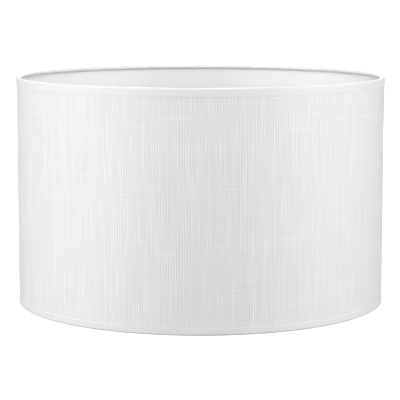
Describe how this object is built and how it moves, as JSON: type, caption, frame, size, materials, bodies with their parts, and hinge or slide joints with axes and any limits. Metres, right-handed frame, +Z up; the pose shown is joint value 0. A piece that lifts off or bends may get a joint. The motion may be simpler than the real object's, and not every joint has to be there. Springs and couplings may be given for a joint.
{
  "type": "lamp shade",
  "caption": "White drum lamp shade with a woven cover on a stiff liner, bound wire rings at both edges, and a recessed three-armed fitter at the bottom.",
  "frame": {"origin": "centre of the drum at the level of the bottom binding's lowest edge", "axes": "+Z up along the drum's axis, and +Y towards the back, which the back arm points to"},
  "size_m": [0.4006, 0.4006, 0.247],
  "materials": {
    "cover_fabric": "matt plain weave with slubs",
    "liner_film": "satin translucent film",
    "tape_film": "clear adhesive tape",
    "binding_tape": "smooth fine tape",
    "wire": "white powder coat",
    "pressed_sheet": "white powder coat",
    "weld": "white powder coat over weld metal"
  },
  "bodies": {
    "shade": {"liner": "liner_film", "cover": "cover_fabric", "seam_tape": "tape_film", "top_ring": "wire", "bottom_ring": "wire", "top_binding": "binding_tape", "bottom_binding": "binding_tape", "fitter_collar": "pressed_sheet", "back_arm": "wire", "left_arm": "wire", "right_arm": "wire", "weld_beads": "weld"}
  },
  "joints": []
}
